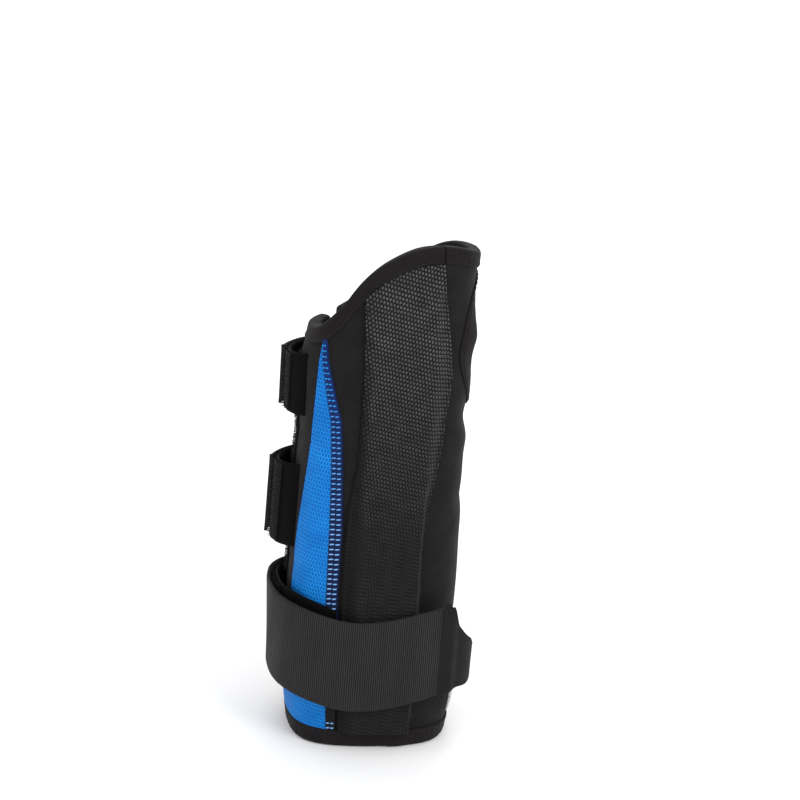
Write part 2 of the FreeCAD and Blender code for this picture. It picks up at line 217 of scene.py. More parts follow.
def footing(place, off, step=1.0):
    """A point and the direction away from the cuff there. place(off) is a point off mm out."""
    foot = place(off)
    return foot, (place(off + step) - foot).normalized()


# ---- mesh building ----
def new_object(name, vertices, faces, uvs, material):
    mesh = bpy.data.meshes.new(name)
    mesh.from_pydata([v * MM for v in vertices], [], faces)
    layer = mesh.uv_layers.new(name="UVMap")
    for loop in mesh.loops:
        layer.data[loop.index].uv = uvs[loop.vertex_index]
    mesh.materials.append(material)
    mesh.update()
    obj = bpy.data.objects.new(name, mesh)
    bpy.context.scene.collection.objects.link(obj)
    shade(obj)
    return obj


def shade(obj, angle=50):
    obj.data.polygons.foreach_set("use_smooth", [True] * len(obj.data.polygons))
    obj.data.set_sharp_from_angle(angle=math.radians(angle))


def apply_modifiers(obj):
    graph = bpy.context.evaluated_depsgraph_get()
    final = bpy.data.meshes.new_from_object(obj.evaluated_get(graph))
    obj.modifiers.clear()
    old = obj.data
    obj.data = final
    bpy.data.meshes.remove(old)
    return obj


def subdivide(obj, levels=1, angle=50):
    modifier = obj.modifiers.new("round", "SUBSURF")
    modifier.levels = levels
    modifier.render_levels = levels
    apply_modifiers(obj)
    shade(obj, angle)
    return obj


def slab(name, columns, rows, outer, inner, material, levels=1, chart=None):
    """A closed sheet with two faces. outer and inner give a place for each (column, row) fraction.
    The weave follows the sheet, or chart, which turns a place into cloth coordinates."""
    vertices, uvs = [], []
    for face in (outer, inner):
        grid = [[face(i / columns, j / rows) for j in range(rows + 1)] for i in range(columns + 1)]
        run = 0.0
        for i, column in enumerate(grid):
            if i:
                run += (column[rows // 2] - grid[i - 1][rows // 2]).length
            rise = 0.0
            for j, place in enumerate(column):
                if j:
                    rise += (place - column[j - 1]).length
                vertices.append(place)
                uvs.append(chart(place) if chart else (run, rise))
    side = (columns + 1) * (rows + 1)

    def at(i, j, face):
        return face * side + i * (rows + 1) + j
    faces = []
    for i in range(columns):
        for j in range(rows):
            faces.append((at(i, j, 0), at(i + 1, j, 0), at(i + 1, j + 1, 0), at(i, j + 1, 0)))
            faces.append((at(i, j, 1), at(i, j + 1, 1), at(i + 1, j + 1, 1), at(i + 1, j, 1)))
        for j, flip in ((0, False), (rows, True)):
            rim = (at(i, j, 1), at(i + 1, j, 1), at(i + 1, j, 0), at(i, j, 0))
            faces.append(rim[::-1] if flip else rim)
    for j in range(rows):
        for i, flip in ((0, True), (columns, False)):
            rim = (at(i, j, 1), at(i, j + 1, 1), at(i, j + 1, 0), at(i, j, 0))
            faces.append(rim if flip else rim[::-1])
    obj = new_object(name, vertices, faces, uvs, material)
    return subdivide(obj, levels) if levels else obj


def tube(name, stations, material, closed=False, levels=1):
    """A closed skin round a row of equal rings of points."""
    count = len(stations[0])
    vertices, uvs, faces = [], [], []
    run = 0.0
    for i, ring in enumerate(stations):
        if i:
            run += (ring[0] - stations[i - 1][0]).length
        turn = 0.0
        for j, place in enumerate(ring):
            if j:
                turn += (place - ring[j - 1]).length
            vertices.append(place)
            uvs.append((run, turn))
    end = (len(stations) - 1) * count
    last = len(stations) if closed else len(stations) - 1
    for i in range(last):
        for j in range(count):
            a, b = i * count, (i + 1) % len(stations) * count
            k = (j + 1) % count
            faces.append((a + j, b + j, b + k, a + k))
    if not closed:
        faces.append(tuple(range(count)))
        faces.append(tuple(reversed(range(end, end + count))))
    obj = new_object(name, vertices, faces, uvs, material)
    face_outwards(obj)
    return subdivide(obj, levels) if levels else obj


def face_outwards(obj):
    """Turns all faces over if the closed mesh is inside out."""
    volume = 0.0
    places = [v.co for v in obj.data.vertices]
    for face in obj.data.polygons:
        ring = list(face.vertices)
        for b, c in zip(ring[1:], ring[2:]):
            volume += places[ring[0]].dot(places[b].cross(places[c]))
    if volume < 0:
        obj.data.flip_normals()


def puff(obj, columns, rows, is_free, cap):
    """Swells a padded panel between its seams with a short cloth simulation. is_free says which
    (column, row) points of its outer face move, and cap is the most they may."""
    outer = [(i, j) for i in range(columns + 1) for j in range(rows + 1)]
    group = obj.vertex_groups.new(name="held")
    group.add([k + len(outer) for k in range(len(outer))], 1.0, "REPLACE")
    group.add([k for k, spot in enumerate(outer) if not is_free(*spot)], 1.0, "REPLACE")
    cloth = obj.modifiers.new("foam", "CLOTH")
    cloth.settings.quality = 6
    cloth.settings.mass = 0.2
    cloth.settings.tension_stiffness = 8
    cloth.settings.compression_stiffness = 8
    cloth.settings.bending_stiffness = 0.4
    cloth.settings.vertex_group_mass = "held"
    cloth.settings.use_pressure = True
    cloth.settings.uniform_pressure_force = 4
    cloth.settings.effector_weights.gravity = 0
    for step in range(1, 21):
        bpy.context.scene.frame_set(step)
    graph = bpy.context.evaluated_depsgraph_get()
    swollen = [v.co.copy() for v in obj.evaluated_get(graph).data.vertices]
    obj.modifiers.clear()
    bpy.context.scene.frame_set(1)
    outwards = [v.normal.copy() for v in obj.data.vertices]
    for k in range(len(outer)):
        vertex = obj.data.vertices[k]
        move = (swollen[k] - vertex.co).dot(outwards[k])
        vertex.co += outwards[k] * min(cap * MM, max(-0.3 * cap * MM, move))
    obj.vertex_groups.clear()
    return obj


def rod_faces(base, rings, sides):
    """Faces round a row of rings, whose points are numbered from base, with both ends closed."""
    faces = []
    last = base + (rings - 1) * sides
    for a in range(base, last, sides):
        for k in range(sides):
            m = (k + 1) % sides
            faces.append((a + k, a + m, a + sides + m, a + sides + k))
    faces.append(tuple(base + k for k in reversed(range(sides))))
    faces.append(tuple(last + k for k in range(sides)))
    return faces


THREAD_SIDES = 6
THREAD_RISE = 0.12  # how far a stitch's middle stands above its ends
# A stitch from end to end: (share of its length, share of its thickness, share of its rise).
STITCH_PROFILE = ((0.0, 0.35, 0.0), (0.16, 0.9, 0.75), (0.5, 1.0, 1.0), (0.84, 0.9, 0.75), (1.0, 0.35, 0.0))


def beads(name, items, material):
    """Short rounded threads. Each item is (start, end, outward direction, thickness)."""
    vertices, faces, uvs = [], [], []
    for start, end, out, thick in items:
        run = end - start
        across = run.cross(out).normalized()
        faces += rod_faces(len(vertices), len(STITCH_PROFILE), THREAD_SIDES)
        for t, width, lift in STITCH_PROFILE:
            middle = start + run * t + out * THREAD_RISE * lift
            for k in range(THREAD_SIDES):
                a = 2 * math.pi * k / THREAD_SIDES
                vertices.append(middle + (across * math.cos(a) + out * math.sin(a) * 0.8) * thick * width / 2)
                uvs.append((t * run.length, k * thick / THREAD_SIDES))
    obj = new_object(name, vertices, faces, uvs, material)
    face_outwards(obj)
    return obj


def stitch_line(spots, length, gap, thick=0.45):
    """Thread items along a line of points, each with an outward direction."""
    points = [point for point, _ in spots]
    total = [0.0]
    for a, b in zip(points, points[1:]):
        total.append(total[-1] + (b - a).length)
    items = []
    place = gap / 2
    while place + length < total[-1]:
        ends = []
        for want in (place, place + length):
            k = next(i for i in range(len(total) - 1) if total[i + 1] >= want)
            t = (want - total[k]) / max(1e-9, total[k + 1] - total[k])
            ends.append(points[k].lerp(points[k + 1], t))
        items.append((ends[0], ends[1], spots[k][1], thick))
        place += length + gap
    return items


# ---- materials ----
class Look:
    """A node material, with short calls for the nodes it is made from."""

    def __init__(self, name, colour, rough, sheen=0.0, metal=0.0, shine=0.12):
        self.material = bpy.data.materials.new(name)
        self.material.use_nodes = True
        self.tree = self.material.node_tree
        self.shader = self.tree.nodes["Principled BSDF"]
        settings = {"Base Color": (*colour, 1.0), "Roughness": rough, "Metallic": metal,
                    "Sheen Weight": sheen, "Sheen Roughness": 0.5, "Specular IOR Level": shine}
        for socket, value in settings.items():
            self.shader.inputs[socket].default_value = value
        self.uv = self.node("ShaderNodeTexCoord").outputs["UV"]
        self.place = self.node("ShaderNodeTexCoord").outputs["Object"]

    def feed(self, socket, value):
        """Links another node's output to a socket, or sets the socket to a plain value."""
        if hasattr(value, "is_output"):
            self.tree.links.new(value, socket)
        else:
            socket.default_value = value

    def node(self, kind, **inputs):
        made = self.tree.nodes.new(kind)
        for key, value in inputs.items():
            self.feed(made.inputs[key.replace("_", " ")], value)
        return made

    def axis(self, letter):
        return self.node("ShaderNodeSeparateXYZ", Vector=self.place).outputs[letter]

    def noise(self, scale, detail=3.0, stretch=(1, 1, 1), source=None):
        vector = self.node("ShaderNodeMapping", Vector=source or self.uv, Scale=stretch).outputs[0]
        return self.node("ShaderNodeTexNoise", Vector=vector, Scale=scale, Detail=detail).outputs["Fac"]

    def wave(self, period, direction="X", distortion=0.0):
        made = self.node("ShaderNodeTexWave", Vector=self.uv, Scale=math.pi / 10 / period,
                         Distortion=distortion, Detail=1.0)
        made.bands_direction = direction
        return made.outputs["Fac"]

    def bricks(self, width, height, mortar, turn=0.0, smooth_edge=0.3):
        """1 between the bricks and 0 on them, for threads laid in staggered rows."""
        vector = self.node("ShaderNodeMapping", Vector=self.uv, Rotation=(0, 0, turn)).outputs[0]
        made = self.node("ShaderNodeTexBrick", Vector=vector, Scale=0.1, Mortar_Size=mortar / 10,
                         Mortar_Smooth=smooth_edge, Brick_Width=width / 10, Row_Height=height / 10)
        return made.outputs["Fac"]

    def math(self, operation, a, b=0.0):
        made = self.tree.nodes.new("ShaderNodeMath")
        made.operation = operation
        self.feed(made.inputs[0], a)
        self.feed(made.inputs[1], b)
        return made.outputs[0]

    def range(self, value, low, high, to_low=0.0, to_high=1.0):
        made = self.node("ShaderNodeMapRange", Value=value, From_Min=low, From_Max=high, To_Min=to_low,
                         To_Max=to_high)
        return made.outputs[0]

    def mix(self, factor, first, second):
        made = self.tree.nodes.new("ShaderNodeMix")
        made.data_type = "RGBA"
        for index, value in ((0, factor), (6, first), (7, second)):
            self.feed(made.inputs[index], (*value, 1.0) if isinstance(value, tuple) else value)
        return made.outputs[2]

    def paint(self, socket):
        self.tree.links.new(socket, self.shader.inputs["Base Color"])

    def roughness(self, socket):
        self.tree.links.new(socket, self.shader.inputs["Roughness"])

    def bump(self, height, distance, strength=1.0):
        made = self.node("ShaderNodeBump", Height=height, Distance=distance * MM, Strength=strength)
        self.tree.links.new(made.outputs[0], self.shader.inputs["Normal"])
        return self.material


def laminate_look(name, colour, glow, period):
    """Fine jersey over foam: a soft knit grain, faint lint and slow changes of shade."""
    look = Look(name, colour, 0.82, sheen=0.03)
    shade_change = look.range(look.noise(0.05, 4.0), 0.3, 0.7)
    lint = look.range(look.noise(2.2, 2.0), 0.62, 0.78, 0.0, 0.5)
    base = look.mix(shade_change, colour, tuple(c * glow for c in colour))
    look.paint(look.mix(lint, base, tuple(c * glow * 1.7 for c in colour)))
    look.roughness(look.range(look.noise(0.12), 0.3, 0.7, 0.74, 0.9))
    knit = look.math("MULTIPLY", look.wave(period, "X"), look.wave(period * 1.2, "Y"))
    return look.bump(look.math("ADD", knit, look.noise(1.6, 2.0)), 0.12, 0.6)


def ribbed_look(name, colour, light, period, depth, shine=0.12):
    """Webbing with ribs across its length and single threads showing."""
    look = Look(name, colour, 0.7, sheen=0.02, shine=shine)
    rib = look.wave(period, "X", 0.4)
    threads = look.bricks(period, 1.5, 0.16)
    worn = look.range(look.noise(0.09, 4.0, (1, 0.3, 1)), 0.35, 0.75)
    ribs = look.mix(look.range(rib, 0.2, 0.9), tuple(c * 0.45 for c in colour), light)
    look.paint(look.mix(look.math("MULTIPLY", worn, 0.45), ribs, colour))
    look.roughness(look.range(worn, 0, 1, 0.62, 0.8))
    return look.bump(look.math("SUBTRACT", rib, look.math("MULTIPLY", threads, 0.4)), depth, 0.8)


def pocket_look():
    """Coarse knit: light dashes in staggered rows, brighter towards the fingers."""
    dark, mid, light = (0.0015, 0.0015, 0.0016), (0.006, 0.006, 0.0063), (0.11, 0.11, 0.112)
    look = Look("pocket_cloth", mid, 0.8, sheen=0.02)
    dash = look.bricks(1.5, 1.8, 0.36, 0.25)
    rows = look.wave(1.8, "Y")
    pits = look.math("MULTIPLY", look.wave(1.1, "X"), rows)
    upper = look.range(look.axis("Z"), 0.1, 0.2, 0.13, 1.0)
    past_edge = look.range(look.axis("X"), -0.0125, -0.0085)
    whole = look.range(look.axis("Z"), 0.15, 0.185)
    patch = look.range(look.noise(0.16, 4.0), 0.3, 0.75, 0.5, 1.0)
    thread = look.range(look.noise(2.6, 1.0), 0.35, 0.6, 0.35, 1.0)
    shown = look.math("MULTIPLY", look.math("MULTIPLY", upper, patch), thread)
    shown = look.math("MULTIPLY", shown, look.math("MAXIMUM", past_edge, whole))
    woven = look.math("MULTIPLY", shown, look.math("SUBTRACT", 1.0, dash))
    base = look.mix(look.range(pits, 0.15, 0.6), mid, dark)
    look.paint(look.mix(woven, base, light))
    look.roughness(look.range(patch, 0.4, 1, 0.85, 0.68))
    relief = look.math("SUBTRACT", look.math("MULTIPLY", rows, 0.5), dash)
    return look.bump(relief, 0.3, 0.9)


def mesh_look():
    """Bright blue spacer mesh: small open cells that read as short dark dashes."""
    blue, pale, deep = (0.002, 0.15, 0.5), (0.006, 0.21, 0.62), (0.001, 0.065, 0.3)
    look = Look("blue_mesh", blue, 0.6)
    cells = look.math("SUBTRACT", 1.0, look.bricks(1.3, 1.9, 0.42, 0.12, 0.5))
    shade_change = look.range(look.noise(0.08), 0.3, 0.7)
    look.paint(look.mix(look.math("MULTIPLY", cells, 0.75), look.mix(shade_change, blue, pale), deep))
    look.roughness(look.range(look.noise(0.3), 0.3, 0.7, 0.5, 0.66))
    return look.bump(look.math("SUBTRACT", look.noise(1.8), cells), 0.35, 0.8)


def seam_look():
    """Navy tape that turns black where it runs below the forearm strap."""
    black, navy, bluer = (0.006, 0.006, 0.007), (0.003, 0.008, 0.04), (0.003, 0.018, 0.1)
    look = Look("navy_tape", navy, 0.7, sheen=0.02)
    above_strap = look.mix(look.range(look.axis("Z"), 0.1, 0.18), navy, bluer)
    look.paint(look.mix(look.range(look.axis("Z"), 0.026, 0.028), black, above_strap))
    grains = look.noise(2.4)
    look.roughness(look.range(grains, 0.3, 0.7, 0.6, 0.8))
    return look.bump(grains, 0.15, 0.7)


def ladder_look():
    """Light blue thread, deeper blue towards the fingers."""
    look = Look("light_blue_thread", (0.2, 0.42, 0.78), 0.5, sheen=0.02)
    look.paint(look.mix(look.range(look.axis("Z"), 0.09, 0.17), (0.17, 0.36, 0.68), (0.02, 0.2, 0.56)))
    grains = look.noise(3.0)
    look.roughness(look.range(grains, 0.3, 0.7, 0.42, 0.6))
    return look.bump(grains, 0.08, 0.7)


def plain_look(name, colour, rough, grain, depth):
    """One colour with a fine grain."""
    look = Look(name, colour, rough)
    grains = look.noise(grain)
    slow = look.range(look.noise(grain / 12), 0.3, 0.7)
    look.paint(look.mix(slow, colour, tuple(min(1.0, c * 1.5) for c in colour)))
    look.roughness(look.range(grains, 0.3, 0.7, rough * 0.85, min(1.0, rough * 1.15)))
    return look.bump(grains, depth, 0.7)


def placed_look(name, colour, rough, grain, depth, metal=0.0, stretch=(1, 1, 1)):
    """As plain_look, for carried-over nodes, which have no map of their own."""
    look = Look(name, colour, rough, metal=metal)
    grains = look.noise(grain, 3.0, stretch, look.place)
    look.paint(look.mix(grains, tuple(c * 0.82 for c in colour), colour))
    look.roughness(look.range(grains, 0.3, 0.7, rough * 0.75, rough * 1.25))
    return look.bump(grains, depth, 0.5)


def label_look():
    """A worn blank label: pale threads over grey, with bright speckles."""
    look = Look("label_cloth", (0.3, 0.3, 0.31), 0.6)
    speckle = look.range(look.noise(1.4, 4.0), 0.45, 0.62)
    rows = look.wave(0.8, "Y")
    base = look.mix(rows, (0.16, 0.16, 0.17), (0.34, 0.34, 0.35))
    look.paint(look.mix(speckle, base, (0.78, 0.78, 0.8)))
    look.roughness(look.range(speckle, 0, 1, 0.7, 0.4))
    return look.bump(look.math("ADD", rows, speckle), 0.15, 0.8)


LAMINATE = laminate_look("laminate", (0.0062, 0.0056, 0.006), 1.5, 0.7)
LINING = laminate_look("brushed_lining", (0.012, 0.012, 0.013), 1.5, 1.1)
BINDING = laminate_look("edge_tape", (0.0068, 0.0052, 0.0062), 1.35, 0.6)
POCKET = pocket_look()
BLUE = mesh_look()
NAVY = seam_look()
WEBBING = ribbed_look("ribbed_webbing", (0.0105, 0.0105, 0.011), (0.031, 0.031, 0.032), 1.0, 0.25)
LOOP_WEBBING = ribbed_look("smooth_webbing", (0.0015, 0.0015, 0.0016), (0.003, 0.003, 0.0032), 0.6, 0.12,
                           shine=0.05)
TAB_CLOTH = laminate_look("tab_cloth", (0.0068, 0.0068, 0.0072), 1.4, 0.6)
HOOK_TAPE = plain_look("hook_tape", (0.004, 0.004, 0.004), 0.75, 2.0, 0.3)
HOOKS = plain_look("nylon_hooks", (0.006, 0.006, 0.006), 0.45, 1.0, 0.05)
THREAD = plain_look("black_thread", (0.012, 0.011, 0.012), 0.6, 3.0, 0.08)
BLUE_THREAD = ladder_look()
LABEL = label_look()
ALUMINIUM = placed_look("satin_aluminium", (0.72, 0.73, 0.74), 0.34, 400.0, 0.03, 1.0, (9, 9, 0.4))
CAP_VINYL = placed_look("black_vinyl", (0.02, 0.02, 0.02), 0.45, 900.0, 0.05)

# ---- joining pieces to the frame ----
FOLD_START, FOLD_END = (0.04, -0.011, 0.1), (0.04, 0.005, 0.1)


def named(obj, slot, nodes):
    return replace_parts(obj, *nodes) if nodes else obj


def on_palm(obj, slot, *nodes):
    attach(obj, "palmar_cuff")
    return named(obj, slot, nodes)


def on_flap(obj, slot, *nodes):
    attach(obj, "dorsal_flap")
    return named(obj, slot, nodes)


def over_fold(obj, slot, *nodes):
    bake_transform(obj)
    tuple(FOLD_START)
    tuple(FOLD_END)
    return named(obj, slot, nodes)


# ---- fabric panels ----
WALL_LOW = TAPE  # the fabric starts this far above the floor, inside the rim's tape
PANEL_STEP_DEG, PANEL_ROWS = 3.2, 84
PUFF_CAP = 1.1  # the most the padding may swell
CLEAR = 4  # free padding keeps this far from the tapes
FREE_ANGLES = ((40, 142), (-128, -105))
STRAP_ROOTS = ((20, 78), (90, 137), (153, 190))
ROOT_DEG = 105  # the strap roots lie past this angle
LABEL_DEG, LABEL_TOP = 84, 32


def swells(deg, z):
    """Whether the padding is free to swell here: away from the tapes, the trim and the strap roots."""
    in_height = TAPE_WIDTH + CLEAR <= z <= top_of(deg) - TAPE_WIDTH - CLEAR
    if not in_height or not any(low < deg < high for low, high in FREE_ANGLES):
        return False
    in_thumb_tape = math.hypot((section(deg, 0, z).y - THUMB_Y) / (THUMB_HALF_Y + 11),
                               (z - THUMB_Z) / (THUMB_HALF_Z + 11)) < 1
    at_root = deg > ROOT_DEG and any(low < z < high for low, high in STRAP_ROOTS)
    by_label = deg < LABEL_DEG and z < LABEL_TOP
    return not (in_thumb_tape or at_root or by_label)


def panel(name, first, last, outer, inner, material, padded=False):
    """A panel of the cuff between two section angles, from the rim's tape to the upper edge."""
    columns, rows = round(abs(last - first) / PANEL_STEP_DEG), PANEL_ROWS

    def angle_and_height(s, t):
        deg = first + (last - first) * s
        return deg, WALL_LOW + (top_of(deg) - WALL_LOW) * t

    def face(off):
        def place(s, t):
            deg, z = angle_and_height(s, t)
            return cuff(deg, off, z)
        return place
    obj = slab(name, columns, rows, face(outer), face(inner), material, levels=0)
    if padded:
        puff(obj, columns, rows, lambda i, j: swells(*angle_and_height(i / columns, j / rows)), PUFF_CAP)
    return subdivide(obj)


def cut_thumb_hole(obj):
    """Cuts the thumb's oval out of a panel."""
    ring = []
    for k in range(64):
        a = 2 * math.pi * k / 64
        ring.append((THUMB_Y + THUMB_HALF_Y * math.cos(a), THUMB_Z + THUMB_HALF_Z * math.sin(a)))
    ends = [[Vector((x, y, z)) for y, z in ring] for x in (12.0, 60.0)]
    cutter = tube("thumb_cutter", ends, LAMINATE, levels=0)
    modifier = obj.modifiers.new("thumb", "BOOLEAN")
    modifier.object = cutter
    modifier.operation = "DIFFERENCE"
    modifier.solver = "EXACT"
    apply_modifiers(obj)
    shade(obj)
    bpy.data.objects.remove(cutter)


shell_palm = panel("cuff_palm_fabric", ULNAR_EDGE_DEG, PANEL_SEAM_DEG, 0, -FOAM, LAMINATE, padded=True)
on_palm(shell_palm, "shell_fabric", "palmar_shell")
lining_palm = panel("cuff_palm_lining", ULNAR_EDGE_DEG, PANEL_SEAM_DEG, -FOAM - 0.05, -LINED, LINING)
on_palm(lining_palm, "lining", "palmar_liner")
shell_back = panel("cuff_back_fabric", PANEL_SEAM_DEG, FLAP_EDGE_DEG, 0, -FOAM, LAMINATE, padded=True)
cut_thumb_hole(shell_back)
over_fold(shell_back, "shell_fabric", "dorsal_shell")
lining_back = panel("cuff_back_lining", PANEL_SEAM_DEG, FLAP_EDGE_DEG, -FOAM - 0.05, -LINED, LINING)
cut_thumb_hole(lining_back)
over_fold(lining_back, "lining", "dorsal_liner")

# ---- folded edge tape ----
# The tape's section: (mm in from the fabric's edge, mm outside the foam's face), all the way round.
TAPE_SECTION = [(8.0, 0.1), (7.8, 0.7), (6.6, 0.95), (4.2, 0.85), (1.8, 1.0), (0.4, 0.85), (-0.45, 0.2),
                (-0.8, -0.9), (-0.8, -3.6), (-0.45, -4.7), (0.4, -5.2), (1.8, -5.35), (4.2, -5.2),
                (6.6, -5.3), (7.8, -5.1), (8.0, -4.6), (5.0, -4.5), (0.5, -4.4), (0.1, -3.4), (0.1, -1.1),
                (0.5, -0.1), (5.0, 0.0)]
STITCH_IN = 6.5  # the stitch line's distance from the edge
STITCH_OFF = 0.86  # the height of its middle outside the foam's face
PUCKER = 0.13  # how far the tape's faces ripple in and out
TOP_TAPE_SHARE, TOP_TAPE_MOST = 0.88, 1.45  # the top tape's reach down, and its most where the edge slopes
EDGE_TAPE_LOW = 7.4  # the back edges' tapes start at this height, over the rim's tape
LAP_SLANT = 0.9  # degrees the lapped end is cut back for each mm in from the edge
TAPE_SEAM_DEG = 25.0  # the top tape's two lengths meet beside the palm pocket
RIM_LAP_DEG = 9.0  # the rim tape's end lies over its start here


def tape(name, count, place, closed=False):
    """Edge tape along a path. place(t, inward, off) is a point at a fraction of the path."""
    stations = []
    for i in range(count if closed else count + 1):
        pucker = PUCKER * math.sin(i * 1.9 + 0.8 * math.sin(i * 0.7))
        ring = []
        for inward, off in TAPE_SECTION:
            swell = pucker * hump(inward, 3.4, 3.2) if off > 0.3 or off < -5.0 else 0.0
            ring.append(place(i / count, inward, off + (swell if off > 0 else -swell)))
        stations.append(ring)
    return tube(name, stations, BINDING, closed)


def tape_stitches(name, count, place, sink=0.0):
    """The stitch line along a tape. On the thumb's oval, sink draws it in towards the oval's back end."""
    spots = []
    for i in range(count + 1):
        t = i / count
        off = STITCH_OFF - sink * smooth(0.3, 0.9, math.cos(2 * math.pi * t))
        spots.append(footing(lambda reach: place(t, STITCH_IN, reach), off))
    return beads(name, stitch_line(spots, 2.0, 0.8), THREAD)


def top_place(first, last):
    """Along the upper edge, square to its slope."""
    def place(t, inward, off):
        deg = first + (last - first) * t
        before, after = deg - 1.5, deg + 1.5
        run = (section(after, 0, EDGE_SECTION_Z) - section(before, 0, EDGE_SECTION_Z)).length
        slope = (top_of(after) - top_of(before)) / run
        reach = TOP_TAPE_SHARE * min(TOP_TAPE_MOST, math.hypot(1, slope)) if inward > 0 else 1.0
        return cuff(deg, off, top_of(deg) - inward * reach)
    return place


def rim_place(first, last, lap=0.0):
    """Along the forearm rim. With lap, its first end is cut on a slant and lies over other tape."""
    def place(t, inward, off):
        deg = first + (last - first) * t
        raised = lap * (1 - smooth(7, 15, deg - first))
        slant = -LAP_SLANT * inward * (1 - smooth(0, 12, deg - first)) if lap else 0.0
        return cuff(deg + slant, off + (raised if off > -0.6 else 0.0), WALL_LOW + inward)
    return place


def edge_place(edge_deg, sign):
    """Up a straight back edge. sign is +1 where the fabric lies at larger angles."""
    def place(t, inward, off):
        z = EDGE_TAPE_LOW + (top_of(edge_deg) - TAPE_WIDTH + 0.6 - EDGE_TAPE_LOW) * t
        per_mm = math.degrees(1 / (section(edge_deg, 0, z) - Vector((0, half_depth(z) + PALM_Y, z))).length)
        return cuff(edge_deg + sign * inward * per_mm, off, z)
    return place


def thumb_place(t, inward, off):
    a = 2 * math.pi * t
    y = THUMB_Y + (THUMB_HALF_Y + inward) * math.cos(a)
    z = THUMB_Z + (THUMB_HALF_Z + inward) * math.sin(a)
    return cuff(deg_at(y, z), off, z)


tapes = (
    ("top_tape_palm", 100, top_place(ULNAR_EDGE_DEG, TAPE_SEAM_DEG + 0.3), on_palm, "palmar_top_binding"),
    ("top_tape_back", 120, top_place(TAPE_SEAM_DEG, FLAP_EDGE_DEG), over_fold, "dorsal_top_binding"),
    ("rim_tape_palm", 78, rim_place(ULNAR_EDGE_DEG, RIM_LAP_DEG + 5), on_palm, "palmar_base_binding"),
    ("rim_tape_back", 140, rim_place(RIM_LAP_DEG, FLAP_EDGE_DEG, TAPE), over_fold, "dorsal_base_binding"),
    ("ulnar_edge_tape", 110, edge_place(ULNAR_EDGE_DEG, 1), on_palm, "palmar_edge_binding"),
    ("flap_edge_tape", 116, edge_place(FLAP_EDGE_DEG, -1), on_flap, "dorsal_edge_binding"),
)
for name, count, place, join, node in tapes:
    length = sum((place(k / 50, 0, 0) - place((k + 1) / 50, 0, 0)).length for k in range(50))
    strip = join(tape(name, count, place), "binding", node)
    join(tape_stitches(name + "_stitches", count, place), "binding")
thumb_tape = tape("thumb_tape", 84, thumb_place, closed=True)
over_fold(thumb_tape, "binding", "palmar_thumb_binding", "dorsal_thumb_binding")
over_fold(tape_stitches("thumb_tape_stitches", 84, thumb_place, sink=0.6), "binding")

# ---- palm-side trim ----
TRIM_LOW = TAPE_WIDTH + 0.4
MESH_THICK, SEAM_THICK, HOOK_THICK, LABEL_THICK = 0.9, 1.15, 0.9, 0.5
PATCH_LIFT = 0.02  # a sewn piece's inner face clears the cuff by this much
MESH_ROWS = [(TRIM_LOW, -92, -25.5), (20, -90, -26), (75, -66, -28.5), (107, -62, -29), (140, -53, -31),
             (159, -50, -33), (178, -47.6, -40), (186, -46.8, -43.5), (195, -46.3, -46)]
SEAM_ROWS = [(TRIM_LOW, -25.7, -19.7), (20, -26.2, -20), (75, -28.7, -21.5), (107, -29.2, -21),
             (140, -31.2, -24), (159, -33.2, -26.2), (178, -40.2, -34.8), (186, -43.7, -38.8),
             (195, -46.2, -42.8)]
HOOK_ROWS = [(77, -101, -87), (184, -101, -87)]
LABEL_ROWS = [(12, 62, 80), (28, 62, 80)]


def over_rows(rows, off):
    """A face off mm outside the cuff, between two edges given as (height, left angle, right angle) rows."""
    low, high = rows[0][0], rows[-1][0]

    def place(s, t):
        z = low + (high - low) * t
        return cuff(angle_across(rows, z, s), off, z)
    return place


def patch(name, rows, thickness, material, columns, steps, chart=None):
    """A thin piece sewn flat on the cuff."""
    outer, inner = over_rows(rows, thickness), over_rows(rows, PATCH_LIFT)
    return slab(name, columns, steps, outer, inner, material, chart=chart)


def round_cuff(place):
    """Cloth coordinates for a place on the cuff: mm round it, and height."""
    return math.atan2(place.x, FOLD_Y - place.y) * HALF_WIDTH, place.z


insert = patch("blue_mesh_insert", MESH_ROWS, MESH_THICK, BLUE, 14, 80, chart=round_cuff)
on_palm(insert, "mesh", "ulnar_mesh_insert")
seam = patch("insert_seam_tape", SEAM_ROWS, SEAM_THICK, NAVY, 4, 90)
on_palm(seam, "cover_seam", "mesh_cover_seam")
LADDER_PITCH = 2.4
LADDER_BARS = ((0.07, 0.45), (0.54, 0.9))  # each row of bars, in shares of the seam tape's width
LADDER_THICK = 0.7
SEAM_BARE = (12.5, 27.0)  # the seam shows no thread between these heights


def ladder_stitches():
    """Twin rows of short light-blue bars, lying across the seam tape all the way up."""
    items = []
    z = TRIM_LOW + 1.2
    while z < SEAM_ROWS[-1][0] - 0.6:
        if not SEAM_BARE[0] < z < SEAM_BARE[1]:
            _, out = footing(lambda off: cuff(angle_across(SEAM_ROWS, z, 0), off, z), SEAM_THICK)
            for a, b in LADDER_BARS:
                start = cuff(angle_across(SEAM_ROWS, z, a), SEAM_THICK + 0.1, z)
                end = cuff(angle_across(SEAM_ROWS, z, b), SEAM_THICK + 0.1, z + 0.25)
                items.append((start, end, out, LADDER_THICK))
        z += LADDER_PITCH
    return items


on_palm(beads("insert_ladder_stitches", ladder_stitches(), BLUE_THREAD), "cover_seam")
over_fold(patch("blank_label", LABEL_ROWS, LABEL_THICK, LABEL, 8, 8), "label", "care_label")


# ---- hook tape ----
# A hook from foot to tip: (share of its lean, share of its height, thickness in mm).
HOOK_SPINE = ((0.0, 0.0, 0.17), (0.08, 0.5, 0.14), (0.25, 0.88, 0.12), (0.6, 1.0, 0.1), (0.8, 0.82, 0.05))
HOOK_SIDES = 3


